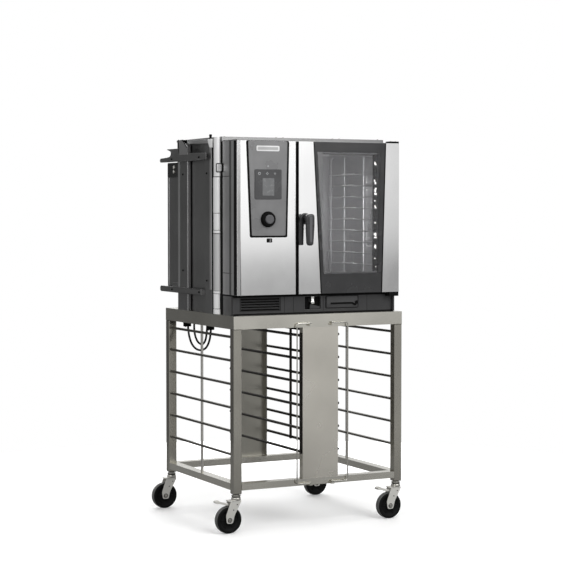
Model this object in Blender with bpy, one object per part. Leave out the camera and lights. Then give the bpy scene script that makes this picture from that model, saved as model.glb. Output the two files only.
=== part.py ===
"""Combi steamer oven on a mobile open stand.

Working coordinates are millimetres: x from the oven's left side, y back from the door face, z up
from the floor. Every mesh is written in metres about CENTRE, the middle of the object's footprint.
"""
import math

import bmesh
import bpy
from mathutils import Matrix, Vector

# ---------------------------------------------------------------- driving dimensions (millimetres)
CENTRE = (382.75, 367.5)          # x, y of the footprint's middle
GAP = 0.3                        # clearance between touching pieces

OVEN_WIDTH = 850.0
FRONT_DEPTH = 150.0              # depth of the front module
BODY_DEPTH = 668.0               # back of the side panels
REAR_DEPTH = 781.0               # back of the rear cover
DOOR_BOTTOM = 1082.0
DOOR_TOP = 1784.0
CASING_TOP = 1806.0
DOOR_LEFT = 315.0
COLUMN_RIGHT = 299.0

STAND_X = (-17.0, 868.0)
STAND_Y = (0.0, 781.0)
STAND_TOP = 988.0
POST = 40.0
POST_BOTTOM = 179.0
TOP_RAIL = 60.0
BOTTOM_RAIL = (194.0, 225.0)
PANEL_X = (336.6, 523.0)         # the sheet panel between the two tray bays
RUNNER_TOP = 890.0
RUNNER_PITCH = 107.7
RUNNER_COUNT = 6
RUNNER_RADIUS = 4.5

WHEEL_RADIUS = 62.5
CASTOR_TRAIL = 40.0
CASTOR_TOP = POST_BOTTOM - GAP

CAVITY_X = (330.0, 820.0)
CAVITY_Z = (1105.0, 1750.0)
CAVITY_BACK = 640.0
FAN_Y = 355.0
FAN_Z = 1415.0
RACK_LEVELS = 10
RACK_PITCH = 54.6
RACK_FIRST = 1150.0

DOOR_HINGE = (838.0, 20.0)
DIAL = (155.0, 1427.0)
HANDLE = (347.0, 1432.0)
BAIL_Y = -12.0
BAIL_Z = (205.0, 947.0)

CABLE_RADIUS = 5.0
CLAMP_Y = (650.0, 380.0)
CABLE_ROUTE = [
    (44, 655, 988), (44, 655, 968), (44, 653, 950), (44, 650, 932), (44, 650, 912), (44, 646, 888),
    (44, 634, 854), (44, 604, 820), (44, 560, 801), (44, 515, 796), (44, 470, 801), (44, 426, 820),
    (44, 396, 854), (44, 384, 888), (44, 380, 912), (44, 380, 930), (47, 387, 948), (54, 408, 963),
    (59, 450, 971), (61, 510, 973), (61, 565, 968), (61, 600, 948), (61, 613, 915), (61, 611, 880),
    (60, 592, 850), (57, 558, 831), (53, 515, 825), (48, 472, 832), (43, 438, 855), (40, 420, 888),
    (40, 414, 925), (40, 414, 960), (40, 414, 988),
]

# ------------------------------------------------------------------------------------- materials
STEEL = ((0.62, 0.62, 0.60), 0.32, 1.0)
SATIN = ((0.55, 0.55, 0.54), 0.38, 1.0)
ZINC = ((0.66, 0.66, 0.63), 0.35, 1.0)
DARK_STEEL = ((0.16, 0.16, 0.16), 0.45, 0.8)
RUBBER = ((0.045, 0.045, 0.048), 0.75, 0.0)
BLACK = ((0.03, 0.03, 0.03), 0.45, 0.0)
GREY = ((0.20, 0.20, 0.20), 0.4, 0.2)
GLASS = ((0.03, 0.03, 0.035), 0.08, 0.0)

bpy.context.scene.unit_settings.length_unit = "MILLIMETERS"
for old in list(bpy.data.objects):
    bpy.data.objects.remove(old, do_unlink=True)


def metres(x, y, z):
    """Working millimetres to model metres."""
    return Vector((x - CENTRE[0], y - CENTRE[1], z)) * 0.001


def finish_material(name, look):
    """One Principled material for a sub-part."""
    colour, roughness, metallic = look
    material = bpy.data.materials.new(name)
    material.use_nodes = True
    shader = material.node_tree.nodes["Principled BSDF"]
    shader.inputs["Base Color"].default_value = (*colour, 1.0)
    shader.inputs["Roughness"].default_value = roughness
    shader.inputs["Metallic"].default_value = metallic
    return material


def make(name, bm, look, pivot=None, smooth=False, bevel=0.0):
    """Turn a bmesh in working millimetres into a named object whose origin is its pivot."""
    origin = metres(*pivot) if pivot else Vector((0.0, 0.0, 0.0))
    bmesh.ops.recalc_face_normals(bm, faces=bm.faces)
    for vert in bm.verts:
        vert.co = metres(*vert.co) - origin
    mesh = bpy.data.meshes.new(name)
    bm.to_mesh(mesh)
    bm.free()
    obj = bpy.data.objects.new(name, mesh)
    bpy.context.collection.objects.link(obj)
    obj.location = origin
    mesh.materials.append(finish_material(name, look))
    if smooth:
        mesh.shade_smooth()
        mesh.set_sharp_from_angle(angle=math.radians(35))
    if bevel:
        modifier = obj.modifiers.new("edges", "BEVEL")
        modifier.width = bevel * 0.001
        modifier.segments = 1
        modifier.limit_method = "ANGLE"
        modifier.angle_limit = math.radians(60)
    return obj


def fused(name, shapes, look, pivot=None, smooth=False):
    """Join overlapping shapes into one body with Boolean unions."""
    base = make(name, shapes[0], look, pivot, smooth)
    for index, shape in enumerate(shapes[1:]):
        helper = make(f"{name}_helper_{index}", shape, look)
        helper.hide_render = True
        helper.display_type = "WIRE"
        modifier = base.modifiers.new("join", "BOOLEAN")
        modifier.operation = "UNION"
        modifier.solver = "EXACT"
        modifier.object = helper
    return base


# ------------------------------------------------------------------------------- shape functions
def blocks(add, cut=()):
    """Union of upright boxes less other boxes; a box is ((x0, x1), (y0, y1), (z0, z1))."""
    planes = [sorted({v for b in [*add, *cut] for v in b[axis]}) for axis in range(3)]

    def inside(point, boxes):
        return any(all(b[a][0] < point[a] < b[a][1] for a in range(3)) for b in boxes)

    counts = [len(p) - 1 for p in planes]
    full = set()
    for i in range(counts[0]):
        for j in range(counts[1]):
            for k in range(counts[2]):
                middle = [(planes[a][n] + planes[a][n + 1]) / 2 for a, n in enumerate((i, j, k))]
                if inside(middle, add) and not inside(middle, cut):
                    full.add((i, j, k))
    bm = bmesh.new()
    corners = {}

    def corner(index):
        if index not in corners:
            corners[index] = bm.verts.new([planes[a][index[a]] for a in range(3)])
        return corners[index]

    for cell in full:
        for axis in range(3):
            for side in (0, 1):
                beyond = list(cell)
                beyond[axis] += 1 if side else -1
                if tuple(beyond) in full:
                    continue
                u, v = (axis + 1) % 3, (axis + 2) % 3
                loop = []
                for du, dv in ((0, 0), (1, 0), (1, 1), (0, 1)):
                    index = list(cell)
                    index[axis] += side
                    index[u] += du
                    index[v] += dv
                    loop.append(corner(tuple(index)))
                bm.faces.new(loop if side else loop[::-1])
    bmesh.ops.dissolve_limit(bm, angle_limit=0.01, verts=bm.verts, edges=bm.edges)
    return bm


def prism(outline, axis, low, high, hole=None):
    """Extrude a flat outline along an axis; outline points are the other two axes in x, y, z order."""
    bm = bmesh.new()

    def ring(points):
        verts = [bm.verts.new((*p[:axis], low, *p[axis:])) for p in points]
        return [bm.edges.new((a, b)) for a, b in zip(verts, verts[1:] + verts[:1])]

    edges = ring(outline)
    if hole:
        bmesh.ops.triangle_fill(bm, edges=edges + ring(hole), use_beauty=True)
    else:
        bm.faces.new([v for v in bm.verts])
    walls = bmesh.ops.extrude_face_region(bm, geom=bm.faces[:])
    moved = [v for v in walls["geom"] if isinstance(v, bmesh.types.BMVert)]
    shift = Vector((0, 0, 0))
    shift[axis] = high - low
    bmesh.ops.translate(bm, vec=shift, verts=moved)
    if hole:
        bmesh.ops.remove_doubles(bm, verts=bm.verts, dist=0.0001)
    return bm


def turned(profile, axis, centre, segments):
    """Turn (radius, height) points about an axis through centre; the profile closes on itself
    unless both of its ends are on the axis."""
    bm = bmesh.new()
    along = Vector((0, 0, 0))
    along[axis] = 1.0
    out = Vector((0, 0, -1)) if axis < 2 else Vector((-1, 0, 0))
    base = Vector(centre)
    base[axis] = 0.0
    verts = [bm.verts.new(base + out * r + along * h) for r, h in profile]
    edges = [bm.edges.new(pair) for pair in zip(verts, verts[1:])]
    if profile[0][0] or profile[-1][0]:
        edges.append(bm.edges.new((verts[-1], verts[0])))
    bmesh.ops.spin(bm, geom=verts + edges, cent=base, axis=along, dvec=(0, 0, 0),
                   angle=math.tau, steps=segments, use_merge=True)
    bmesh.ops.remove_doubles(bm, verts=bm.verts, dist=0.001)
    return bm


def rod(start, end, radius, sides=8):
    """A straight round bar between two points."""
    bm = bmesh.new()
    line = Vector(end) - Vector(start)
    turn = line.to_track_quat("Z", "Y").to_matrix().to_4x4()
    place = Matrix.Translation((Vector(start) + Vector(end)) / 2) @ turn
    bmesh.ops.create_cone(bm, cap_ends=True, segments=sides, radius1=radius, radius2=radius,
                          depth=line.length, matrix=place)
    return bm


def arc(centre, radius, first, last, steps):
    """Points on an arc in a plane, angles in degrees."""
    turns = [math.radians(first + (last - first) * n / steps) for n in range(steps + 1)]
    return [(centre[0] + radius * math.cos(a), centre[1] + radius * math.sin(a)) for a in turns]


def tube(name, points, radius, look, pivot=None, resolution=2):
    """A round tube with filled ends along a line of points."""
    origin = metres(*pivot) if pivot else Vector((0.0, 0.0, 0.0))
    curve = bpy.data.curves.new(name, "CURVE")
    curve.dimensions = "3D"
    curve.bevel_depth = radius * 0.001
    curve.bevel_resolution = resolution
    curve.use_fill_caps = True
    spline = curve.splines.new("POLY")
    spline.points.add(len(points) - 1)
    for point, place in zip(spline.points, points):
        point.co = (*(metres(*place) - origin), 1.0)
    obj = bpy.data.objects.new(name, curve)
    bpy.context.collection.objects.link(obj)
    obj.location = origin
    curve.materials.append(finish_material(name, look))
    return obj


def smooth_route(points, spacing):
    """Evenly spaced points on a smooth curve through the route's own points."""
    knots = [Vector(p) for p in points]
    ends = [knots[0] * 2 - knots[1], *knots, knots[-1] * 2 - knots[-2]]
    dense = []
    for a, b, c, d in zip(ends, ends[1:], ends[2:], ends[3:]):
        for n in range(24):
            t = n / 24
            dense.append(0.5 * (2 * b + (c - a) * t + (2 * a - 5 * b + 4 * c - d) * t * t
                                + (3 * b - a - 3 * c + d) * t ** 3))
    dense.append(knots[-1])
    total = sum((q - p).length for p, q in zip(dense, dense[1:]))
    step = total / round(total / spacing)
    route, travelled = [dense[0]], 0.0
    for p, q in zip(dense, dense[1:]):
        travelled += (q - p).length
        if travelled >= step * len(route) - 1e-6:
            route.append(q)
    route[-1] = knots[-1]
    return route


# ------------------------------------------------------------------------------------------ stand
def stand():
    """Four square posts, two ring frames and the two sheet panels between the tray bays."""
    x0, x1 = STAND_X
    y0, y1 = STAND_Y
    corners = {"front_left": (x0, y0), "front_right": (x1 - POST, y0),
               "rear_left": (x0, y1 - POST), "rear_right": (x1 - POST, y1 - POST)}
    notches = []
    for place, (x, y) in corners.items():
        shape = blocks([((x, x + POST), (y, y + POST), (POST_BOTTOM, STAND_TOP - TOP_RAIL - GAP))])
        make(f"post_{place}", shape, STEEL, bevel=2.0)
        notches.append(((x - GAP, x + POST + GAP), (y - GAP, y + POST + GAP), BOTTOM_RAIL))
        castor(place, x + POST / 2, y + POST / 2)
    top = (STAND_TOP - TOP_RAIL, STAND_TOP)
    lug_y = (BAIL_Y - 6, y0 + 5)
    lugs = [((362, 378), lug_y, (935, BAIL_Z[1] - 3.3)), ((478, 494), lug_y, (935, BAIL_Z[1] - 3.3))]
    make("stand_top_frame",
         blocks([((x0, x1), (y0, y1), top), *lugs],
                [((x0 + POST, x1 - POST), (y0 + POST, y1 - POST), top)]), STEEL)
    lugs = [((362, 378), lug_y, (BOTTOM_RAIL[0], BAIL_Z[0] - 3.3)),
            ((478, 494), lug_y, (BOTTOM_RAIL[0], BAIL_Z[0] - 3.3))]
    weld = POST + 6
    make("stand_bottom_frame",
         blocks([((x0, x1), (y0, y1), BOTTOM_RAIL), *lugs],
                [((x0 + weld, x1 - weld), (y0 + weld, y1 - weld), BOTTOM_RAIL), *notches]), STEEL)
    a, b = PANEL_X
    height = (BOTTOM_RAIL[1] + GAP, top[0] - GAP)
    sheet = [(a, 2), (b, 2), (b, 34), (b - 2, 34), (b - 2, 4), (a + 2, 4), (a + 2, 34), (a, 34)]
    make("middle_panel_front", prism(sheet, 2, *height), STEEL)
    back = [(x, y1 - y) for x, y in reversed(sheet)]
    make("middle_panel_rear", prism(back, 2, *height), STEEL)


def runners():
    """Tray runner ladders: rods joined by a mid upright or by end strips."""
    levels = [RUNNER_TOP - n * RUNNER_PITCH for n in range(RUNNER_COUNT)]
    y0, y1 = STAND_Y
    height = (BOTTOM_RAIL[1] + GAP, STAND_TOP - TOP_RAIL - GAP)
    for side, x in (("left", STAND_X[0] + 22), ("right", STAND_X[1] - 22)):
        rods = [rod((x, y0 + POST + 0.5, z), (x, y1 - POST - 0.5, z), RUNNER_RADIUS) for z in levels]
        upright = blocks([((x - 5, x + 5), (385, 395), height)])
        fused(f"tray_runners_outer_{side}", [upright, *rods], STEEL)
    for side, strip, x in (("left", (PANEL_X[0] - 3.3, PANEL_X[0] - GAP), PANEL_X[0] - 5.6),
                           ("right", (PANEL_X[1] + GAP, PANEL_X[1] + 3.3), PANEL_X[1] + 5.6)):
        ends = [blocks([(strip, span, (levels[-1] - 12, levels[0] + 12))])
                for span in ((8, 30), (y1 - 30, y1 - 8))]
        rods = [rod((x, 12, z), (x, y1 - 12, z), RUNNER_RADIUS) for z in levels]
        fused(f"tray_runners_middle_{side}", [ends[0], *rods, ends[1]], STEEL)


def bails():
    """Bright rods that swing in front of the tray bays and keep the trays in."""
    low, high = BAIL_Z
    for side, pivot, reach in (("left", 370.0, -70.0), ("right", 486.0, 81.0)):
        turn = 8 if reach > 0 else -8
        path = [(pivot, high), (pivot + reach - turn, high), (pivot + reach, high - 8),
                (pivot + reach, low + 8), (pivot + reach - turn, low), (pivot, low)]
        tube(f"tray_bail_{side}", [(x, BAIL_Y, z) for x, z in path], 3.0, ZINC,
             pivot=(pivot, BAIL_Y, low))


def castor(place, x, y):
    """A swivel fork with its axle, the wheel, and a brake pedal on the front two."""
    axle_x = x - CASTOR_TRAIL
    axle_z = WHEEL_RADIUS
    race = turned([(0, CASTOR_TOP), (22, CASTOR_TOP), (22, 169), (18, 167), (18, 163), (22, 161),
                   (22, 145), (0, 145)], 2, (x, y, 0), 16)
    crown = blocks([((x - 44, x + 18), (y - 21, y + 21), (139, 151))])
    leg = [(x + 18, 145), (x - 26, 145), (axle_x - 11, 72), (axle_x - 9, 54), (axle_x, 49),
           (axle_x + 9, 54), (axle_x + 16, 80)]
    legs = [prism(leg, 1, y + low, y + low + 3.5) for low in (-21.0, 17.5)]
    axle = rod((axle_x, y - 25, axle_z), (axle_x, y + 25, axle_z), 5.0, 12)
    nuts = [rod((axle_x, y + a, axle_z), (axle_x, y + b, axle_z), 9.0, 6) for a, b in ((-24, -20), (20, 24))]
    fused(f"castor_fork_{place}", [race, crown, *legs, axle, *nuts], ZINC, (x, y, CASTOR_TOP))
    half = [(5.1, 17), (14, 17), (15, 11), (44, 9), (49, 15), (57, 15), (61.5, 11), (WHEEL_RADIUS, 5)]
    profile = half + [(r, -h) for r, h in reversed(half)]
    wheel = turned([(r, y + h) for r, h in profile], 1, (axle_x, y, axle_z), 24)
    make(f"castor_wheel_{place}", wheel, RUBBER, (axle_x, y, axle_z), smooth=True)
    if place.startswith("front"):
        step = [(x - 46, 136), (x - 60, 138), (x - 92, 150), (x - 108, 150), (x - 108, 147),
                (x - 92, 147), (x - 60, 134), (x - 46, 132)]
        make(f"brake_pedal_{place}", prism(step, 1, y - 15, y + 15), ZINC, (x - 50, y, 134))


# ------------------------------------------------------------------------------------ supply lead
def supply_lead():
    """The flexible lead, held by two clamps under the top rail in a double loop."""
    inner = STAND_X[0] + POST + GAP
    for number, y in enumerate(CLAMP_Y):
        hole = ((38, 50), (y - 6, y + 6), (915, 930))
        shape = blocks([((inner, 56), (y - 11, y + 11), (917, 927.5))], [hole])
        make(f"cable_clamp_{number + 1}", shape, BLACK)
    for number, (x, y, _) in enumerate((CABLE_ROUTE[0], CABLE_ROUTE[-1])):
        cone = [(6.8, 987.9), (13, 987.9), (13, 982), (9.5, 979), (8, 962), (6.8, 962)]
        make(f"lead_gland_{number + 1}", turned(cone, 2, (x, y, 0), 16), BLACK, smooth=True)
    tube("supply_lead", smooth_route(CABLE_ROUTE, 22.0), CABLE_RADIUS, RUBBER)


# ----------------------------------------------------------------------------------------- casing
def casing():
    """Chassis tray, side panels, top, rear cover and the guard on the left side."""
    base = STAND_TOP + GAP
    wide = (0.0, OVEN_WIDTH)
    make("base_chassis",
         blocks([(wide, (60.3, BODY_DEPTH), (base, 1076))],
                [((3, 847), (63, 665), (991.5, 1076)), ((470, 660), (60.3, 63), (1005, 1076)),
                 ((392, 428), (60.3, 63), (1030, 1076))]), DARK_STEEL)
    make("base_front",
         blocks([(wide, (43, 60), (990, 1073))],
                [((33, 244), (43, 60), (1004, 1069)), ((367, 453), (43, 60), (1008, 1069)),
                 ((478, 653), (43, 60), (1010, 1069))]), GREY)
    slots = [((40, 237), (44, 50), (z, z + 6)) for z in (1009, 1021, 1033, 1045, 1057)]
    make("air_grille", blocks([((33.3, 243.7), (44, 50), (1004.3, 1068.7))], slots), BLACK)
    make("drip_drawer",
         blocks([((478.3, 652.7), (40, 46), (1010.3, 1068.7)), ((486, 645), (46, 340), (1012, 1062))],
                [((489, 642), (49, 337), (1015, 1062))]), GREY, pivot=(565, 40, 1040))
    head = rod((410, 46, 1036), (410, 46, 1066), 10.5, 12)
    stem = rod((410, 46, 1051), (410, 118, 1051), 7.0, 12)
    fused("hand_shower", [head, stem], ZINC, (410, 46, 1051))
    behind_apron = (153.3, BODY_DEPTH)
    side = (1076.3, 1795.7)
    make("side_panel_left", blocks([((0, 3), behind_apron, side)]), DARK_STEEL)
    make("side_panel_right",
         blocks([((847, 850), behind_apron, side), ((847, 850), (70.3, 160), (1076.3, 1784.7))]), SATIN)
    make("top_panel",
         blocks([((-5, 850), (FRONT_DEPTH, BODY_DEPTH), (1796, CASING_TOP)),
                 ((-5, 850), (FRONT_DEPTH, 153), (1785, 1796)), (wide, (66, 153), (1785, 1788)),
                 ((0, COLUMN_RIGHT), (0, 66), (1785, 1788))]), SATIN)
    make("rear_cover",
         blocks([((5, 845), (BODY_DEPTH + GAP, REAR_DEPTH), (1100, 1690)),
                 (wide, (BODY_DEPTH + GAP, 672), (1076.3, 1795.7))],
                [((8, 842), (BODY_DEPTH + GAP, 778), (1103, 1687))]), DARK_STEEL)
    uprights = [((-22, -5.3), (172, 314), (STAND_TOP + GAP, CASING_TOP)),
                ((-22, -5.3), (502, 614), (STAND_TOP + GAP, CASING_TOP))]
    bars = [((-40, -20), (250, 502), (1704, 1733)), ((-40, -20), (502, 706), (1702, 1764)),
            ((-40, -20), (706, 797), (1702, 1721)), ((-40, -20), (310, 797), (1071, 1098))]
    notch = [((-40, -20), (672, 706), (1725, 1758))]
    make("side_guard", blocks(uprights + bars, notch), STEEL)


# ---------------------------------------------------------------------------------- control column
def control_column():
    """Folded stainless fascia with its control plate, display and push-and-turn dial."""
    right = COLUMN_RIGHT
    fold = [(0, 0), (right, 0), (right, 20), (right - 2, 20), (right - 2, 2), (2, 2),
            (2, FRONT_DEPTH - GAP), (0, FRONT_DEPTH - GAP)]
    make("column_fascia", prism(fold, 2, DOOR_BOTTOM, DOOR_TOP), STEEL)
    plate = [(70, 1352), (247, 1352), (254, 1782), (52, 1782)]
    make("control_plate", prism(plate, 1, -1.6, -GAP), GREY)
    make("display_module", blocks([((88, 224), (-4.4, -1.9), (1518, 1654))]), BLACK)
    x, z = DIAL
    ring = [(21.7, -1.9), (21.7, -15), (25, -17), (31, -15), (32.5, -1.9)]
    make("dial_ring", turned(ring, 1, (x, 0, z), 32), BLACK, (x, 0, z), smooth=True)
    cap = [(0, -4.4), (21, -4.4), (21, -19), (18.5, -21), (0, -21)]
    make("dial_cap", turned(cap, 1, (x, 0, z), 32), GREY, (x, 0, z), smooth=True)


# ------------------------------------------------------------------------------------------ cavity
def cavity():
    """Liner, seal, guide plate, fan with motor and heater, racks and the steam generator."""
    mouth = ((CAVITY_X[0], CAVITY_X[1]), (66, CAVITY_BACK), CAVITY_Z)
    outer = ((CAVITY_X[0] - 4, CAVITY_X[1] + 4), (66, CAVITY_BACK + 4), (CAVITY_Z[0] - 4, CAVITY_Z[1] + 4))
    shaft_hole = ((320, 330), (FAN_Y - 15, FAN_Y + 15), (FAN_Z - 15, FAN_Z + 15))
    make("cavity_liner",
         blocks([((301, 849.7), (66, 70), (1077, 1784)), outer], [mouth, shaft_hole]), SATIN)
    make("door_seal",
         blocks([((338, 812), (58.6, 65.7), (1113, 1742))],
                [((350, 800), (58.6, 65.7), (1125, 1730))]), RUBBER)
    plate = [(92, 1112), (632, 1112), (632, 1742), (92, 1742)]
    inlet = arc((FAN_Y, FAN_Z), 95, 0, 330, 11)
    make("air_guide_plate", prism(plate, 0, 445, 447, hole=inlet), SATIN)
    disc = turned([(0, 315.3), (8, 315.3), (8, 345), (128, 345), (128, 348), (26, 348), (20, 398),
                   (0, 398)], 0, (0, FAN_Y, FAN_Z), 24)
    blade_shapes = []
    for n in range(8):
        turn = Matrix.Rotation(math.tau * n / 8, 4, "X")
        blade = blocks([((347, 392), (-1.5, 1.5), (18, 122))])
        bmesh.ops.transform(blade, matrix=Matrix.Translation((0, FAN_Y, FAN_Z)) @ turn, verts=blade.verts)
        blade_shapes.append(blade)
    fused("fan_wheel", [disc, *blade_shapes], SATIN, (345, FAN_Y, FAN_Z))
    motor = [(0, 205), (48, 205), (56, 213), (56, 300), (30, 306), (30, 315), (0, 315)]
    make("fan_motor", turned(motor, 0, (0, FAN_Y, FAN_Z), 20), DARK_STEEL, smooth=True)
    ring = [(165 + 6 * math.cos(math.tau * n / 8), 405 + 6 * math.sin(math.tau * n / 8)) for n in range(8)]
    make("ring_heater", turned(ring, 0, (0, FAN_Y, FAN_Z), 32), DARK_STEEL, smooth=True)
    make("steam_generator", blocks([((60, 190), (330, 560), (1110, 1500))]), SATIN, bevel=12.0)
    for side, x in (("left", 462.0), ("right", 804.0)):
        posts = [rod((x, y, 1122), (x, y, 1728), 5.0, 6) for y in (130, 590)]
        levels = [RACK_FIRST + n * RACK_PITCH for n in range(RACK_LEVELS)]
        rods = [rod((x, 108, z), (x, 612, z), 3.5, 6) for z in levels]
        fused(f"hanging_rack_{side}", [*posts[:1], *rods, posts[1]], ZINC)


# -------------------------------------------------------------------------------------------- door
def door():
    """Glazed door hung on the right, with its lever handle and hinge covers."""
    pivot = (*DOOR_HINGE, DOOR_BOTTOM)
    right = OVEN_WIDTH
    slab = blocks([((DOOR_LEFT, right), (8, 58), (DOOR_BOTTOM, DOOR_TOP))],
                  [((440, 740), (8, 58), (1173, 1738))])
    left_strip = [(DOOR_LEFT, DOOR_BOTTOM), (432.4, DOOR_BOTTOM), (393.9, DOOR_TOP), (DOOR_LEFT, DOOR_TOP)]
    right_strip = [(755.6, DOOR_BOTTOM), (right, DOOR_BOTTOM), (right, DOOR_TOP), (775.6, DOOR_TOP)]
    strips = [prism(shape, 1, 0, 9) for shape in (left_strip, right_strip)]
    fused("door_frame", [slab, *strips], STEEL, pivot)
    glass = [(433, DOOR_BOTTOM), (755, DOOR_BOTTOM), (775, DOOR_TOP), (394.5, DOOR_TOP)]
    make("door_glass_outer", prism(glass, 1, 0.5, 7.7), GLASS, pivot)
    make("door_glass_inner", blocks([((360, 790), (58.3, 62), (1135, 1720))]), GLASS, pivot)
    x, z = HANDLE
    plate = arc((x, z), 24, 0, 180, 8) + arc((x, 1322), 20, 180, 360, 8)
    make("handle_plate", prism(plate, 1, -9, -GAP), BLACK, pivot)
    boss = rod((x, -50, z), (x, -9.3, z), 17.0, 20)
    lever = arc((x, z + 1), 21, 0, 180, 8) + arc((x + 2, 1319), 12, 180, 360, 6)
    grip = prism(lever, 1, -62, -44)
    fused("handle_lever", [boss, grip], BLACK, (x, 0, z))
    make("hinge_cover_upper", blocks([((800, 850), (2, 40), (DOOR_TOP + GAP, 1793))]), BLACK)
    make("hinge_cover_lower", blocks([((800, 850), (2, 42.5), (1062, DOOR_BOTTOM - GAP))]), BLACK)


stand()
runners()
bails()
supply_lead()
casing()
control_column()
cavity()
door()
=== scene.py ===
"""Looks of the combi steamer oven on its mobile stand: camera, light, materials and detail pieces.

Places are millimetres in the oven's own terms: x from its left side, y back from the door face,
z up from the floor. at() turns them into the frame's metres.
"""
import math

import bmesh
import bpy
from mathutils import Matrix, Vector


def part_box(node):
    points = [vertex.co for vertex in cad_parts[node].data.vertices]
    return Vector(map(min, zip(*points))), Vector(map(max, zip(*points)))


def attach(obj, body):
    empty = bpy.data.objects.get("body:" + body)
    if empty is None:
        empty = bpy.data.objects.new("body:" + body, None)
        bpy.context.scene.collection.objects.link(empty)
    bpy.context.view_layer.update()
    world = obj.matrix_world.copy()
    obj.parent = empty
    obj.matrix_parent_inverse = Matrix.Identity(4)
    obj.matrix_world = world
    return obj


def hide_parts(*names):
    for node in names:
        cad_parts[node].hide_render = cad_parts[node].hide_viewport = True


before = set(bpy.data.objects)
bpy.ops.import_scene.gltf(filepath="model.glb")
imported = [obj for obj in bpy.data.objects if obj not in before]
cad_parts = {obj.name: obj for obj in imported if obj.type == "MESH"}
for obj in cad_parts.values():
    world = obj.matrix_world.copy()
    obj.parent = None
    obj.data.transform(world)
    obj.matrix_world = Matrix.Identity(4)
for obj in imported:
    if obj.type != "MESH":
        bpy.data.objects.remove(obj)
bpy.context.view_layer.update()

ROOT = "oven_and_stand"
CORNER = Vector((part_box("base_front")[0].x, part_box("column_fascia")[0].y, 0.0))
FRONT_HEIGHT = (1083, 1783)  # the front's lower and upper edge
DIAL = (155, 0, 1427)
HANDLE = (346, 0, 1432)


def at(x, y, z):
    """Oven millimetres to frame metres."""
    return CORNER + Vector((x, y, z)) * 0.001


def new_object(name, data):
    """An object in the scene that shows the given mesh, curve, light or camera."""
    made = bpy.data.objects.new(name, data)
    bpy.context.collection.objects.link(made)
    return made


def area_light(name, watts, size):
    """A square lamp of the given power, with its side in metres."""
    data = bpy.data.lights.new(name, "AREA")
    data.energy = watts
    data.size = size
    return new_object(name, data)


# ---- camera
def add_camera():
    """Seen from the front left at about the height of the door's middle, with a long lens."""
    data = bpy.data.cameras.new("camera")
    data.lens = 107.6
    data.sensor_width = 36
    camera = new_object("camera", data)
    camera.location = at(-3270.5, -6861, 1469)
    turned_right, tilted_down = 27, 2.43
    camera.rotation_euler = (math.radians(90 - tilted_down), 0, math.radians(-turned_right))
    bpy.context.scene.camera = camera


# ---- materials
class Look:
    """A material under construction: its node tree and its Principled shader."""

    def __init__(self, name):
        self.material = bpy.data.materials.new(name)
        self.material.use_nodes = True
        self.tree = self.material.node_tree
        self.shader = self.tree.nodes["Principled BSDF"]

    def node(self, kind, **inputs):
        made = self.tree.nodes.new("ShaderNode" + kind)
        for socket, value in inputs.items():
            made.inputs[socket.replace("_", " ")].default_value = value
        return made

    def link(self, output, target):
        self.tree.links.new(output, target)

    def noise(self, scale, stretch=(1, 1, 1), detail=4.0):
        """Noise in the piece's own metres, stretched along an axis for brushed grain."""
        coords = self.node("TexCoord")
        mapping = self.node("Mapping", Scale=stretch)
        texture = self.node("TexNoise", Scale=scale, Detail=detail)
        self.link(coords.outputs["Object"], mapping.inputs["Vector"])
        self.link(mapping.outputs["Vector"], texture.inputs["Vector"])
        return texture.outputs["Fac"]

    def scaled(self, value, low, high, start=0.3, stop=0.7):
        """A texture value carried from start..stop to low..high."""
        ranger = self.node("MapRange")
        limits = {"From Min": start, "From Max": stop, "To Min": low, "To Max": high}
        for socket, number in limits.items():
            ranger.inputs[socket].default_value = number
        self.link(value, ranger.inputs["Value"])
        return ranger.outputs["Result"]

    def colours(self, value, first, second, start=0.3, stop=0.7):
        """Base colour that runs from one colour to another."""
        ramp = self.node("ValToRGB")
        ramp.color_ramp.elements[0].position = start
        ramp.color_ramp.elements[1].position = stop
        ramp.color_ramp.elements[0].color = (*first, 1)
        ramp.color_ramp.elements[1].color = (*second, 1)
        self.link(value, ramp.inputs["Fac"])
        self.link(ramp.outputs["Color"], self.shader.inputs["Base Color"])

    def bump(self, value, strength, distance=0.0005):
        bump = self.node("Bump", Strength=strength, Distance=distance)
        self.link(value, bump.inputs["Height"])
        self.link(bump.outputs["Normal"], self.shader.inputs["Normal"])

    def rough(self, value, low, high):
        self.link(self.scaled(value, low, high), self.shader.inputs["Roughness"])

    def sets(self, **values):
        for socket, value in values.items():
            self.shader.inputs[socket.replace("_", " ")].default_value = value


def grey(level):
    return (level, level, level)


def shade(colour, factor):
    return tuple(min(1.0, c * factor) for c in colour)


# How a brushed look is stretched: upright or level lines, or none on drawn and plated metal.
UPRIGHT, LEVEL, EVEN = (60, 60, 1), (1, 60, 60), (1, 1, 1)
STAND_UPRIGHT, STAND_LEVEL = (50, 50, 1), (1, 50, 50)


def brushed(name, colour, roughness, grain=UPRIGHT, depth=0.05, smudge=0.05, metal=1.0):
    """Brushed sheet: fine lines along one axis, with faint cleaning smudges."""
    look = Look(name)
    lines = look.noise(22, grain, 3)
    cloud = look.noise(3.2, detail=5)
    look.colours(cloud, shade(colour, 0.93), shade(colour, 1.04))
    look.rough(cloud, roughness - smudge / 2, roughness + smudge)
    look.bump(lines, depth, 0.0002)
    look.sets(Metallic=metal)
    return look.material


def plastic(name, colour, roughness, grain=900, depth=0.12, gloss=0.5):
    """Moulded plastic or fine powder coat: a small pebble grain and a little unevenness."""
    look = Look(name)
    pebble = look.noise(grain, detail=2)
    cloud = look.noise(9, detail=5)
    look.colours(cloud, shade(colour, 0.86), shade(colour, 1.12))
    look.rough(cloud, roughness - 0.05, roughness + 0.08)
    look.bump(pebble, depth, 0.0003)
    look.sets(Specular_IOR_Level=gloss)
    return look.material


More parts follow.
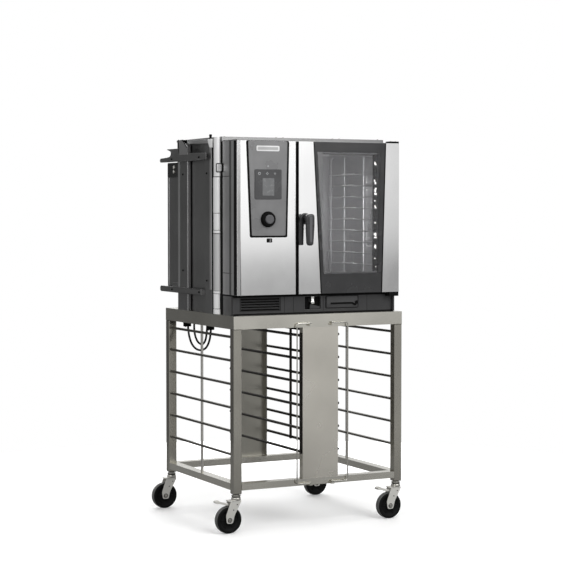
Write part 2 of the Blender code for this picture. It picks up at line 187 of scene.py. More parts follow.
def glass(name, tint, roughness):
    """Tinted door glass with faint smears."""
    look = Look(name)
    smear = look.noise(6, (1, 1, 0.35), 6)
    look.colours(smear, shade(tint, 0.94), tint)
    look.rough(smear, roughness, roughness + 0.05)
    look.sets(Transmission_Weight=0.97, IOR=1.24)
    return look.material


def glowing(name, colour, strength):
    """A small lamp or screen, with a little unevenness across it."""
    look = Look(name)
    cloud = look.noise(60, detail=3)
    look.colours(cloud, shade(colour, 0.8), colour)
    look.rough(cloud, 0.2, 0.3)
    look.sets(Emission_Color=(*colour, 1), Emission_Strength=strength)
    return look.material


OVEN_STEEL = brushed("oven_steel", grey(0.86), 0.10, depth=0.03, smudge=0.02)
GUARD_STEEL = brushed("guard_steel", grey(0.80), 0.34, metal=0.25)
# A darker copy of the guard steel for the upright's lower stretch: painted shade.
SHADED_GUARD_STEEL = brushed("guard_steel_painted_shade", grey(0.52), 0.34, metal=0.4)
# A greyer copy of the oven steel for the fascia's left fold: painted shade.
SHADED_EDGE_STEEL = brushed("edge_steel_painted_shade", grey(0.40), 0.22)
FLAT_STEEL = brushed("flat_steel", grey(0.60), 0.28, LEVEL)
TOP_STEEL = brushed("top_steel", grey(0.33), 0.5, LEVEL)
TRIM_STEEL = brushed("trim_steel", grey(0.20), 0.30, LEVEL)
POST_STEEL = brushed("post_steel", (0.42, 0.405, 0.36), 0.20, STAND_UPRIGHT, 0.08)
PANEL_STEEL = brushed("panel_steel", (0.68, 0.655, 0.59), 0.24, STAND_UPRIGHT, 0.08)
RAIL_STEEL = brushed("rail_steel", (0.65, 0.635, 0.575), 0.20, STAND_LEVEL, 0.08)
# A darker copy of the stand's panel steel for the rear middle panel: painted shade inside the stand.
SHADED_REAR_PANEL_STEEL = brushed("rear_panel_steel_painted_shade", (0.40, 0.39, 0.35), 0.30, STAND_UPRIGHT, 0.08)
RUNNER_STEEL = brushed("runner_steel", (0.12, 0.115, 0.105), 0.34, EVEN, 0.03)
# A darker copy of the runner steel for the rods and stay between the middle panels: painted shade.
SHADED_MIDDLE_RUNNER_STEEL = brushed("middle_runner_steel_painted_shade", (0.035, 0.032, 0.028), 0.4, EVEN, 0.03)
BAIL_WIRE = brushed("bail_wire", (0.52, 0.51, 0.47), 0.2, EVEN, 0.02)
STAY_STEEL = brushed("stay_steel", (0.52, 0.51, 0.48), 0.3, EVEN, 0.03)
# Bright polished wire: the shower head's own finish; on the rack hooks a lighter copy of the rack wire that
# paints glints.
BRIGHT_WIRE = brushed("bright_wire", (0.90, 0.90, 0.88), 0.14, EVEN, 0.02)
RACK_WIRE = brushed("rack_wire", grey(0.50), 0.38, EVEN, 0.02)
LINER_STEEL = brushed("liner_steel", grey(0.45), 0.5, UPRIGHT, 0.05)
# A dark copy of the casing steel. On the left side panel, the rear and the guard's strip, rear upright,
# rails and stays it is painted shade; it also colours the base chassis, fan motor and ring heater.
DARK_STEEL_AND_SHADE = brushed("dark_steel_and_painted_shade", grey(0.26), 0.34, UPRIGHT, 0.06)
MODULE_STEEL = brushed("module_steel", grey(0.62), 0.34, UPRIGHT, 0.05)
ZINC = brushed("zinc_plate", (0.44, 0.43, 0.40), 0.24, EVEN, 0.12)
RUBBER = plastic("wheel_rubber", grey(0.005), 0.55, 500, 0.2, 0.12)
FORK_ZINC = brushed("fork_zinc", (0.74, 0.73, 0.69), 0.34, EVEN, 0.12, metal=0.6)
TREAD = plastic("wheel_tread", (0.105, 0.105, 0.103), 0.6, 400, 0.3, 0.2)
SHEATH = plastic("cable_sheath", grey(0.010), 0.55, 600, 0.1, 0.25)
BLACK = plastic("black_plastic", grey(0.012), 0.4, gloss=0.3)
# Near-black: the own colour of black parts and dark joints, such as hinge covers, clamps, knob, flap, peg,
# dial ring and seams, and painted shade on the dark sheets put in recesses, gaps, corners, creases and
# openings.
BLACK_AND_SHADE = plastic("shadow_black", grey(0.004), 0.8, gloss=0.1)
HANDLE_BLACK = plastic("handle_black", (0.022, 0.022, 0.024), 0.27, 1400, 0.06)
BASE_GREY = plastic("base_grey", (0.028, 0.028, 0.029), 0.36, gloss=0.4)
DRAWER_GREY = plastic("drawer_grey", (0.045, 0.045, 0.046), 0.32, gloss=0.4)
PLATE_GREY = plastic("plate_grey", (0.160, 0.160, 0.162), 0.3, 400, 0.03)
MODULE_BLACK = plastic("display_black", (0.060, 0.060, 0.062), 0.24, 400, 0.02, 0.3)
# Grey of the dial's press cap; on the handle lever it paints a highlight strip.
CAP_GREY_AND_HIGHLIGHT = plastic("cap_grey_and_painted_highlight", (0.10, 0.10, 0.105), 0.5, 1800, 0.06, 0.25)
BADGE = plastic("badge_white", grey(0.66), 0.3, 2200, 0.05)
BADGE_FIELD = plastic("badge_field", grey(0.36), 0.35, 2200, 0.05)
# Black glass print; it also lines the lamp housing and paints a sliver of shade beside the fascia's left
# fold.
MASK = plastic("glass_print", (0.025, 0.025, 0.026), 0.22, 300, 0.015, 0.42)
REVEAL_GREY = plastic("reveal_grey", grey(0.27), 0.5, 500, 0.05, 0.3)
SILICONE = plastic("silicone", grey(0.03), 0.6, 700, 0.15)
DOOR_GLASS = glass("door_glass", (0.76, 0.76, 0.77), 0.02)
SCREEN = glowing("screen_glow", (0.12, 0.122, 0.125), 0.2)
SYMBOL = glowing("symbol_glow", (0.27, 0.275, 0.28), 0.2)
# Glow of the door's lamp strip, drawn as patches that also paint glints.
LAMP_AND_GLINTS = glowing("door_lamp_and_painted_glints", (1.0, 0.98, 0.95), 1.6)


def dress():
    """Gives every carried-over CAD part its material."""
    looks = {
        OVEN_STEEL: ["column_fascia", "door_frame"],
        FLAT_STEEL: ["side_panel_right"],
        TOP_STEEL: ["top_panel"],
        POST_STEEL: ["post_front_left", "post_front_right", "post_rear_left", "post_rear_right"],
        # The rear middle panel takes the darker copy of the panel steel: painted shade.
        SHADED_REAR_PANEL_STEEL: ["middle_panel_rear"],
        PANEL_STEEL: ["middle_panel_front"],
        RAIL_STEEL: ["stand_top_frame", "stand_bottom_frame"],
        LINER_STEEL: ["cavity_liner", "air_guide_plate", "fan_wheel", "steam_generator"],
        # The left side panel and rear cover take the dark steel copy as painted shade; the chassis, fan
        # motor and ring heater take the same colour.
        DARK_STEEL_AND_SHADE: ["side_panel_left", "rear_cover", "base_chassis", "fan_motor", "ring_heater"],
        BASE_GREY: ["base_front", "drip_drawer"],
        SILICONE: ["door_seal"],
        DOOR_GLASS: ["door_glass_outer", "door_glass_inner"],
        BLACK: ["air_grille", "lead_gland_1", "lead_gland_2"],
        BLACK_AND_SHADE: ["hinge_cover_lower", "hinge_cover_upper", "cable_clamp_1", "cable_clamp_2"],
    }
    for material, nodes in looks.items():
        for name in nodes:
            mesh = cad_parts[name].data
            mesh.materials.clear()
            mesh.materials.append(material)


# ---- mesh functions
def seat(made, body, node):
    """Says which body a piece rides on and which CAD node it takes the place of, if any."""
    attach(made, body)
    if node:
        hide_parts(node)


def put(name, bm, material, body=ROOT, bevel=0.0, segments=2, smooth=False, angle=40, node=None):
    """Turns a bmesh in oven millimetres into a piece that rides on a body."""
    bmesh.ops.recalc_face_normals(bm, faces=bm.faces)
    for vert in bm.verts:
        vert.co = at(*vert.co)
    mesh = bpy.data.meshes.new(name)
    bm.to_mesh(mesh)
    bm.free()
    mesh.materials.append(material)
    made = new_object(name, mesh)
    if smooth:
        mesh.shade_smooth()
        mesh.set_sharp_from_angle(angle=math.radians(angle))
    if bevel:
        edges = made.modifiers.new("edges", "BEVEL")
        edges.width = bevel * 0.001
        edges.segments = segments
        edges.limit_method = "ANGLE"
        edges.angle_limit = math.radians(angle)
    seat(made, body, node)


def box(bm, x, y, z):
    """Adds an upright box between pairs of limits."""
    size = Matrix.Diagonal((x[1] - x[0], y[1] - y[0], z[1] - z[0], 1))
    middle = Matrix.Translation(((x[0] + x[1]) / 2, (y[0] + y[1]) / 2, (z[0] + z[1]) / 2))
    return bmesh.ops.create_cube(bm, size=1, matrix=middle @ size)["verts"]


def turned_box(bm, x, y, z, centre, degrees, axis):
    """Adds a box drawn around a centre and turned about an axis through it."""
    turn = Matrix.Translation(centre) @ Matrix.Rotation(math.radians(degrees), 4, axis)
    bmesh.ops.transform(bm, matrix=turn, verts=box(bm, x, y, z))


def prism(bm, outline, axis, low, high):
    """Adds an outline extruded along an axis; its points are the other two axes in x, y, z order."""
    first = [bm.verts.new((*p[:axis], low, *p[axis:])) for p in outline]
    last = [bm.verts.new((*p[:axis], high, *p[axis:])) for p in outline]
    count = len(outline)
    for n in range(count):
        bm.faces.new((first[n], first[(n + 1) % count], last[(n + 1) % count], last[n]))
    bm.faces.new(first[::-1])
    bm.faces.new(last)


def border(bm, outer, inner, axis, low, high):
    """Adds a flat ring between two outlines with the same number of points."""
    rings = [[bm.verts.new((*p[:axis], level, *p[axis:])) for p in line]
             for line in (outer, inner) for level in (low, high)]
    outer_low, outer_high, inner_low, inner_high = rings
    count = len(outer)
    for n in range(count):
        m = (n + 1) % count
        bm.faces.new((outer_low[n], outer_low[m], outer_high[m], outer_high[n]))
        bm.faces.new((inner_low[m], inner_low[n], inner_high[n], inner_high[m]))
        bm.faces.new((outer_high[n], outer_high[m], inner_high[m], inner_high[n]))
        bm.faces.new((outer_low[m], outer_low[n], inner_low[n], inner_low[m]))


def turned(bm, profile, axis, centre, segments=48):
    """Adds (radius, height) points turned about an axis, closed unless both ends lie on it."""
    along = Vector((0, 0, 0))
    along[axis] = 1.0
    out = Vector((0, 0, -1)) if axis < 2 else Vector((-1, 0, 0))
    base = Vector(centre)
    base[axis] = 0.0
    new = [bm.verts.new(base + out * r + along * h) for r, h in profile]
    edges = [bm.edges.new(pair) for pair in zip(new, new[1:])]
    if profile[0][0] or profile[-1][0]:
        edges.append(bm.edges.new((new[-1], new[0])))
    bmesh.ops.spin(bm, geom=new + edges, cent=base, axis=along, dvec=(0, 0, 0), angle=math.tau,
                   steps=segments, use_merge=True)
    bmesh.ops.remove_doubles(bm, verts=bm.verts, dist=0.001)


def rod(bm, start, end, radius, sides=16, tip=None):
    """Adds a straight round bar between two points."""
    line = Vector(end) - Vector(start)
    turn = line.to_track_quat("Z", "Y").to_matrix().to_4x4()
    place = Matrix.Translation((Vector(start) + Vector(end)) / 2) @ turn
    bmesh.ops.create_cone(bm, cap_ends=True, segments=sides, radius1=radius, depth=line.length,
                          radius2=radius if tip is None else tip, matrix=place)


def arc(centre, radius, first, last, steps):
    """Points on an arc in a plane, angles in degrees."""
    turns = [math.radians(first + (last - first) * n / steps) for n in range(steps + 1)]
    return [(centre[0] + radius * math.cos(a), centre[1] + radius * math.sin(a)) for a in turns]


def rounded(low, high, radius, steps=5):
    """A rectangle's outline with round corners."""
    (x0, z0), (x1, z1) = low, high
    return (arc((x0 + radius, z0 + radius), radius, 180, 270, steps)
            + arc((x1 - radius, z0 + radius), radius, 270, 360, steps)
            + arc((x1 - radius, z1 - radius), radius, 0, 90, steps)
            + arc((x0 + radius, z1 - radius), radius, 90, 180, steps))


def softened(corners, radius, steps=5):
    """An outline with every corner rounded."""
    points = []
    count = len(corners)
    for n, corner in enumerate(corners):
        here = Vector(corner)
        before = Vector(corners[n - 1]) - here
        after = Vector(corners[(n + 1) % count]) - here
        cut = min(radius, before.length / 2.1, after.length / 2.1)
        a, b = here + before.normalized() * cut, here + after.normalized() * cut
        for k in range(steps + 1):
            t = k / steps
            points.append(tuple(a * (1 - t) ** 2 + here * 2 * t * (1 - t) + b * t * t))
    return points


def wire(name, points, radius, material, body=ROOT, node=None, resolution=4):
    """A round wire along a line of points, with filled ends, as a piece."""
    curve = bpy.data.curves.new(name, "CURVE")
    curve.dimensions = "3D"
    curve.bevel_depth = radius * 0.001
    curve.bevel_resolution = resolution
    curve.use_fill_caps = True
    spline = curve.splines.new("POLY")
    spline.points.add(len(points) - 1)
    for point, place in zip(spline.points, points):
        point.co = (*at(*place), 1.0)
    spline.use_smooth = True
    curve.materials.append(material)
    made = new_object(name, curve)
    seat(made, body, node)
    return made


def screws(name, places, axis, radius, material, body=ROOT, side=-1):
    """Low pan-head screws; side says which way their heads point along the axis."""
    bm = bmesh.new()
    for place in places:
        base = place[axis]
        head = [(0, base), (radius, base), (radius, base + side * 0.5 * radius),
                (radius * 0.75, base + side * 0.72 * radius), (0, base + side * 0.8 * radius)]
        turned(bm, head, axis, place, 20)
    put(name, bm, material, body, smooth=True, angle=50)


def piece(name, material, shapes, body=ROOT, **finish):
    """A piece of shapes, each given as its mesh function and that function's values."""
    bm = bmesh.new()
    for add, *values in shapes:
        add(bm, *values)
    put(name, bm, material, body, **finish)


# ---- lead
CABLE_ROUTE = [
    (44, 655, 988), (44, 655, 968), (44, 653, 950), (44, 650, 932), (44, 650, 912), (44, 646, 888),
    (44, 634, 854), (44, 604, 820), (44, 560, 801), (44, 515, 796), (44, 470, 801), (44, 426, 820),
    (44, 396, 854), (44, 384, 888), (44, 380, 912), (44, 380, 930), (47, 387, 948), (54, 408, 963),
    (59, 450, 971), (61, 510, 973), (61, 565, 968), (61, 600, 948), (61, 613, 915), (61, 611, 880),
    (60, 592, 850), (57, 558, 831), (53, 515, 825), (48, 472, 832), (43, 438, 855), (40, 420, 888),
    (40, 414, 925), (40, 414, 960), (40, 414, 988),
]


def smooth_route(points, spacing):
    """Evenly spaced points on a smooth curve through the route's own points."""
    knots = [Vector(p) for p in points]
    ends = [knots[0] * 2 - knots[1], *knots, knots[-1] * 2 - knots[-2]]
    dense = []
    for a, b, c, d in zip(ends, ends[1:], ends[2:], ends[3:]):
        for n in range(24):
            t = n / 24
            dense.append(0.5 * (2 * b + (c - a) * t + (2 * a - 5 * b + 4 * c - d) * t * t
                                + (3 * b - a - 3 * c + d) * t ** 3))
    dense.append(knots[-1])
    total = sum((q - p).length for p, q in zip(dense, dense[1:]))
    step = total / round(total / spacing)
    route, travelled = [dense[0]], 0.0
    for p, q in zip(dense, dense[1:]):
        travelled += (q - p).length
        if travelled >= step * len(route) - 1e-6:
            route.append(q)
    route[-1] = knots[-1]
    return route


def supply_lead():
    """The lead hangs in two loops from its clamps; both ends go up into the oven's floor."""
    route = smooth_route(CABLE_ROUTE, 12.0)
    lead = wire("supply_lead_sheath", route, 5.0, SHEATH, node="supply_lead")


# ---- stand
def stand_details():
    """Smooth runners, retaining bails with their eyes and pins, weld beads and post feet."""
    levels = [890.0 - n * 107.7 for n in range(6)]
    for side, x, y in (("left", 5.0, 398), ("right", 846.0, 496)):
        bm = bmesh.new()
        for z in levels:
            rod(bm, (x, 40.5, z), (x, 740.5, z), 6.2)
            for end in (41.5, 739.5):
                rod(bm, (x, end - 1.0, z), (x, end + 1.0, z), 6.4, tip=5.4)
        put(f"runner_rods_outer_{side}", bm, RUNNER_STEEL, smooth=True, node=f"tray_runners_outer_{side}")
        stay = (box, (x - 5.2, x + 5.2), (y - 5.2, y + 5.2), (225.4, 927.6))
        piece(f"runner_stay_{side}", STAY_STEEL, [stay], bevel=1.4)
    for side, flank, out in (("left", 336.3, -1), ("right", 523.3, 1)):
        bm = bmesh.new()
        x = flank + out * 5.3
        for z in levels:
            rod(bm, (x, 12, z), (x, 769, z), 6.6)
        strip = sorted((flank, flank + out * 3.0))
        for y in (8, 751):
            verts = box(bm, strip, (y, y + 22), (levels[-1] - 12, levels[0] + 12))
            edges = list({edge for vert in verts for edge in vert.link_edges})
            bmesh.ops.bevel(bm, geom=edges, offset=0.7, segments=2, affect="EDGES")
        # These rods use the darker copy of the runner steel: painted shade.
        put(f"runner_rods_middle_{side}", bm, SHADED_MIDDLE_RUNNER_STEEL, smooth=True,
            node=f"tray_runners_middle_{side}")
    stay = (box, (523.4, 533.8), (490.8, 501.2), (levels[-1] - 10, levels[0] + 10))
    piece("runner_stay_middle", SHADED_MIDDLE_RUNNER_STEEL, [stay], bevel=1.4)
    high, low, bend = 947, 205, 10
    for side, pivot, reach in (("left", 370.0, -70.0), ("right", 486.0, 81.0)):
        turn = math.copysign(bend, reach)
        inner = pivot + reach - turn
        angles = [math.radians(15 * n) for n in range(7)]
        upper = [(inner + turn * math.sin(a), high - bend + bend * math.cos(a)) for a in angles]
        lower = [(inner + turn * math.cos(a), low + bend - bend * math.sin(a)) for a in angles]
        start = pivot + math.copysign(4.8, reach)
        path = [(start, high), *upper, *lower, (start, low)]
        wire(f"bail_rod_{side}", [(x, -12, z) for x, z in path], 3.0, BAIL_WIRE, f"bail_{side}",
             node=f"tray_bail_{side}", resolution=6)
        piece(f"bail_eyes_{side}", BAIL_WIRE, [
            (turned, [(2.2, z - 3), (5.4, z - 3), (5.4, z + 3), (2.2, z + 3)], 2, (pivot, -12, 0), 24)
            for z in (high, low)
        ], f"bail_{side}", bevel=0.4, smooth=True)
        pins = bmesh.new()
        for z in (high, low):
            rod(pins, (pivot, -12, z - 6), (pivot, -12, z + 4), 2.0)
            head = [(0, z + 3.6), (4.2, z + 3.6), (3.6, z + 5.6), (0, z + 6.2)]
            turned(pins, head, 2, (pivot, -12, 0), 20)
        put(f"bail_pins_{side}", pins, ZINC, smooth=True)
    posts = [(x, y) for x in (-17, 828) for y in (0, 741)]
    seam = (926.95, 928.75)
    weld = bmesh.new()
    for x, y in posts:
        for n in range(20):
            box(weld, (x + 2 * n, x + 2 * n + 1.5), (y - 0.25, y + 0.2), seam)
            box(weld, (x - 0.25, x + 0.2), (y + 2 * n, y + 2 * n + 1.5), seam)
    put("post_weld_beads", weld, RUNNER_STEEL)
    clamps = bmesh.new()
    for y in (380, 650):
        box(clamps, (23.6, 57), (y - 12, y + 12), (902, 927.4))
        rod(clamps, (31, y, 899), (31, y, 903), 3.4, 12)
    put("cable_clamp_shells", clamps, BLACK_AND_SHADE, bevel=2.0)
    caps = [(box, (x + 2, x + 38), (y + 2, y + 38), (177.2, 178.9)) for x, y in posts]
    piece("post_end_caps", BLACK, caps, bevel=0.4)


def castors():
    """Forks with ball race and rivets, wheels with tread, disc and ribs, pedals on the front pair."""
    for place, (x, y) in {"front_left": (3, 20), "front_right": (848, 20),
                          "rear_left": (3, 761), "rear_right": (848, 761)}.items():
        axle = (x - 40, y, 62.5)
        wheel_body = f"wheel_{place}"
        fork_body = f"castor_{place}"
        tyre = bmesh.new()
        tread = [(61.2 + 1.2 * math.cos(math.radians(a)), 13 * math.sin(math.radians(a)) + y)
                 for a in range(-90, 91, 15)]
        turned(tyre, [(48, y - 13.5), (54, y - 15), (59, y - 14.5), *tread, (59, y + 14.5), (54, y + 15),
                      (48, y + 13.5)], 1, axle, 64)
        put(f"tyre_{place}", tyre, TREAD, wheel_body, smooth=True, node=f"castor_wheel_{place}")
        disc = bmesh.new()
        half = [(5.1, 16.5), (13, 16.5), (14, 15.5), (15, 11), (17, 9.2), (40, 7.5), (43, 9), (45, 12.5),
                (47.5, 14.6), (50, 15.3), (55, 15.5), (58.6, 15.0), (60.2, 13.8)]
        turned(disc, [(r, y + h) for r, h in half] + [(r, y - h) for r, h in reversed(half)], 1, axle, 64)
        put(f"wheel_disc_{place}", disc, RUBBER, wheel_body, smooth=True)
        piece(f"wheel_ribs_{place}", RUBBER, [
            (turned_box, (14, 42), (-11.4, 11.4), (-1.6, 1.6), axle, 60 * n, "Y") for n in range(6)
        ], wheel_body, bevel=0.6)
        fork = bmesh.new()
        leg = softened([(x + 20, 150), (x - 34, 150), (axle[0] - 20, 82), (axle[0] - 15, 47),
                        (axle[0] + 15, 47), (axle[0] + 24, 84)], 9)
        for low in (-21.0, 17.6):
            prism(fork, leg, 1, y + low, y + low + 3.4)
        crown = softened([(x + 18, y - 21), (x + 18, y + 21), (x - 40, y + 21), (x - 45, y + 12),
                          (x - 45, y - 12), (x - 40, y - 21)], 7)
        prism(fork, crown, 2, 146.5, 150.5)
        put(f"fork_{place}", fork, FORK_ZINC, fork_body, bevel=0.8, node=f"castor_fork_{place}")
        race = bmesh.new()
        turned(race, [(0, 150.4), (21.5, 150.4), (22, 153), (21.5, 160), (19.5, 162.5), (17.8, 163.4),
                      (17.8, 165.6), (19.5, 166.5), (21.5, 168.5), (21.5, 171.8), (15, 172.6), (15, 175.5),
                      (12, 176), (12, 178.5), (0, 178.5)], 2, (x, y, 0), 40)
        for side in (-1, 1):
            inner, outer, tip = y + side * 21, y + side * 25, y + side * 25.6
            turned(race, [(0, outer), (8.6, outer), (8.6, inner), (0, inner)], 1, axle, 6)
            turned(race, [(0, tip), (4.6, outer), (4.6, inner), (0, inner)], 1, axle, 20)
        rod(race, (axle[0], y - 24, axle[2]), (axle[0], y + 24, axle[2]), 5.0, 20)
        put(f"race_and_axle_{place}", race, ZINC, fork_body, smooth=True, angle=35)
        rivet = [(0, y - 21.5), (2.8, y - 21.5), (2.8, y - 20.9), (0, y - 20.9)]
        washer = [(8.7, y - 21.6), (11.2, y - 21.6), (11.2, y - 21.0), (8.7, y - 21.0)]
        seal = [(17.0, 163.2), (19.2, 163.2), (19.2, 165.8), (17.0, 165.8)]
        piece(f"washer_and_seal_{place}", BLACK, [
            (turned, rivet, 1, (x - 3, 0, 132), 24),
            (turned, rivet, 1, (x - 22, 0, 108), 24),
            (turned, washer, 1, axle, 28),
            (turned, seal, 2, (x, y, 0), 32),
        ], fork_body, smooth=True)
        if place.startswith("front"):
            pedal = bmesh.new()
            step = softened([(x - 45.5, 139), (x - 62, 141), (x - 86, 151), (x - 104, 153),
                             (x - 108, 146), (x - 104, 141), (x - 88, 140), (x - 62, 132),
                             (x - 45.5, 130)], 3)
            prism(pedal, step, 1, y - 15, y + 15)
            for n in range(4):
                box(pedal, (x - 103 + 4 * n, x - 101.4 + 4 * n), (y - 12, y + 12), (151.6, 153.8))
            put(f"pedal_{place}", pedal, FORK_ZINC, f"pedal_{place}", bevel=0.5,
                node=f"brake_pedal_{place}")


# ---- oven front
def base_details():
    """Painted shade in the grille and shower recesses, grille slats, drawer grip and knob, seams and the
    rounded right end.
    """
    # Near-black sheets on the back walls of the grille and shower recesses: painted shade.
    piece("recess_painted_shade", BLACK_AND_SHADE, [
        (box, (367, 453), (58.0, 59.8), (1008, 1069)),
        (box, (33, 244), (56.0, 59.8), (1004, 1069)),
    ])
    piece("grille_slats", BLACK, [
        (turned_box, (41, 236), (-4.5, 4.5), (-0.9, 0.9), (0, 47.5, z), -28, "X")
        for z in (1014.5, 1026.5, 1038.5, 1050.5, 1062.5)
    ], bevel=0.4)
    piece("grille_lips", BASE_GREY, [
        (rod, (41, 43.6, z), (236, 43.6, z), 0.7, 8) for z in (1020.5, 1032.5, 1044.5, 1056.5)
    ], smooth=True)
    piece("base_seams", BLACK_AND_SHADE, [
        (box, (x, x + 1.2), (42.7, 44), (991, 1072.5)) for x in (262, 309, 466, 700)
    ])
    piece("drawer_face", DRAWER_GREY, [
        (prism, rounded((484, 1031), (647, 1066), 4), 1, 38.9, 40.2),
    ], "drawer", bevel=0.5)
    piece("drawer_grip_shadow", BLACK_AND_SHADE, [
        (prism, softened([(503, 1037), (622, 1037), (632, 1029), (641, 1029), (641, 1021), (629, 1021),
                          (619, 1028.5), (503, 1028.5)], 3), 1, 38.2, 40.3),
    ], "drawer", bevel=0.3)
    piece("drawer_knob", BLACK_AND_SHADE, [
        (turned, [(0, 31.5), (6, 31.5), (8, 33.5), (8, 37), (7, 39.8), (0, 39.8)], 1, (641, 0, 1036), 32),
    ], "drawer", smooth=True)
    outer = rounded((478.6, 1010.6), (652.4, 1068.4), 6)
    inner = rounded((481.4, 1013.4), (649.6, 1065.6), 4)
    piece("drawer_edge", BLACK_AND_SHADE, [(border, outer, inner, 1, 39.3, 41)], "drawer", bevel=0.3)
    piece("shower_head", BRIGHT_WIRE, [
        (turned, [(0, 1034), (9.5, 1034), (10.5, 1036), (10.5, 1046), (8.2, 1050), (8.2, 1060), (9.8, 1062),
                  (9.8, 1067), (0, 1068)], 2, (410, 46, 0), 40),
        (rod, (410, 46, 1051), (410, 118, 1051), 7.0, 28),
    ], "shower", smooth=True, angle=35, node="hand_shower")
    piece("shower_grommet", BLACK, [
        (turned, [(7.6, 57), (14, 57), (14, 60), (7.6, 60)], 1, (410, 0, 1051), 32),
    ], smooth=True)
    outer, inner = rounded((364, 1004), (456, 1071.5), 7), rounded((368, 1008), (452, 1067.5), 5)
    piece("recess_trim", DRAWER_GREY, [(border, outer, inner, 1, 41.8, 44)], bevel=0.6)
    cradle = softened([(396, 1009), (452, 1009), (452, 1020), (430, 1024), (412, 1031), (400, 1031)], 4)
    piece("shower_cradle", BASE_GREY, [(prism, cradle, 1, 47, 56)], bevel=1.0)
    piece("base_shadow_gaps", BLACK_AND_SHADE, [
        (box, (0.5, 849.5), (41.5, 44), (1069.6, 1081.5)),
        (box, (2, 846), (41, 44), (988.4, 995.5)),
    ])
    piece("base_right_corner", BASE_GREY, [
        (prism, arc((836, 44), 14, 270, 360, 8) + [(850, 58), (836, 58)], 2, 990.5, 1072.5),
    ], smooth=True, angle=50)
    piece("body_feet", BLACK, [
        (turned, [(0, 988.1), (17, 988.1), (17, 990), (0, 990)], 2, (x, y, 0), 24)
        for x in (24, 826) for y in (110, 600)
    ], smooth=True)


def column_details():
    """Outlined control plate, blank badge, signal light, display, dial and the service flap."""
    piece("control_plate_face", PLATE_GREY, [
        (prism, softened([(73, 1351), (246.5, 1351), (256, 1782.6), (54.5, 1782.6)], 7), 1, -1.5, -0.2),
    ], bevel=0.3, node="control_plate")
    piece("control_plate_outline", BLACK_AND_SHADE, [
        (border, softened([(65, 1344), (254.5, 1344), (264.5, 1783.8), (46, 1783.8)], 9),
         softened([(74, 1352.5), (245.5, 1352.5), (255, 1783), (55.5, 1783)], 7), 1, -1.9, 0.2),
    ])
    piece("blank_badge", BADGE, [
        (prism, rounded((97, 1736.5), (214, 1761.5), 6), 1, -2.8, -1.4),
    ], bevel=0.4)
    piece("blank_badge_field", BADGE_FIELD, [
        (prism, rounded((104, 1742.5), (207, 1755.5), 3), 1, -3.0, -2.7),
    ])
    piece("signal_light", SYMBOL, [
        (turned, [(0, -3.2), (2.5, -3.0), (4.4, -2.2), (4.4, -1.4), (0, -1.4)], 1, (156, 0, 1668), 24),
    ], smooth=True)
    piece("display_housing", MODULE_BLACK, [
        (prism, rounded((88, 1518), (224, 1654), 5), 1, -4.2, -1.4),
    ], bevel=0.6, node="display_module")
    piece("display_screen", SCREEN, [(prism, rounded((127, 1535), (186, 1614), 2), 1, -4.45, -4.1)])
    piece("touch_symbols", SYMBOL, [
        (turned, [(3.6, -4.5), (6.8, -4.5), (6.8, -4.1), (3.6, -4.1)], 1, (x, 0, 1635), sides)
        for x, sides in ((111, 24), (151, 4), (190, 3))
    ])
    ring = bmesh.new()
    turned(ring, [(21.7, -1.6), (21.7, -15.6), (23.0, -18.2), (26.0, -19.4), (29.4, -18.6), (32.2, -15.5),
                  (34.2, -4), (36.2, -3), (36.2, -1.6)], 1, DIAL, 72)
    for n in range(36):
        turned_box(ring, (32.2, 34.6), (-14.4, -4.5), (-0.9, 0.9), DIAL, 10 * n, "Y")
    put("dial_grip_ring", ring, BLACK_AND_SHADE, "dial", smooth=True, angle=30, node="dial_ring")
    piece("dial_press_cap", CAP_GREY_AND_HIGHLIGHT, [
        (turned, [(0, -4.4), (20.9, -4.4), (20.9, -22.6), (20.2, -24.2), (18.6, -25.0), (14, -24.6),
                  (7, -24.2), (0, -24.1)], 1, DIAL, 64),
    ], "dial_button", smooth=True, angle=50, node="dial_cap")
    piece("service_flap", BLACK_AND_SHADE, [(prism, rounded((150, 1321), (177, 1340), 3), 1, -2.2, -0.2)], bevel=0.5)
    piece("service_flap_pull", BADGE_FIELD, [
        (prism, rounded((163, 1331), (172, 1334.5), 1.4), 1, -3.0, -2.1),
        (prism, rounded((163, 1324.5), (170, 1327), 1.2), 1, -3.0, -2.1),
    ], bevel=0.3)
    # The fold is drawn in the greyer copy of the oven steel: painted shade.
    fold = [(0.2, 1.5), (1.5, -0.3), (16.5, -1.3), (17.2, -1.2), (17.2, -0.1), (2.0, 2.0)]
    piece("fascia_edge_fold", SHADED_EDGE_STEEL, [(prism, fold, 2, 1083, 1783.4)], bevel=0.3)
    # A dark sliver beside the fascia's left fold, in the black of the glass print: painted shade.
    piece("fascia_edge_painted_shade", MASK, [
        (prism, [(17.4, 1083), (20.6, 1083), (17.8, 1335), (17.4, 1335)], 1, -0.55, -0.1),
    ])
    piece("fascia_right_roll", OVEN_STEEL, [
        (prism, arc((297.0, 1.2), 2.4, 180, 360, 8), 2, 1083, 1783.4),
    ], smooth=True, angle=60)
    piece("module_cheek", MODULE_STEEL, [(box, (-0.8, -0.2), (32, 149.5), FRONT_HEIGHT)])
    # The upright near-black strip on the left side next to the front is painted shade in the corner; the
    # two level strips are dark grooves.
    groove = bmesh.new()
    box(groove, (-1.1, -0.1), (3, 32), FRONT_HEIGHT)
    for z in (1622, 1180):
        box(groove, (-1.1, -0.7), (56, 149), (z, z + 2.2))
    put("module_corner_shade_and_grooves", groove, BLACK_AND_SHADE)
    piece("module_ridge", TRIM_STEEL, [(box, (-1.2, -0.6), (60, 80), FRONT_HEIGHT)], bevel=0.2)
    # A near-black strip on the side panel between the guard upright and the module cheek: painted shade in
    # the gap.
    piece("guard_gap_painted_shade", BLACK_AND_SHADE, [(box, (-0.9, -0.3), (150.2, 178.6), (988.6, 1783))])
    piece("column_gap", BLACK_AND_SHADE, [(box, (299.6, 314.4), (20, 64), FRONT_HEIGHT)])


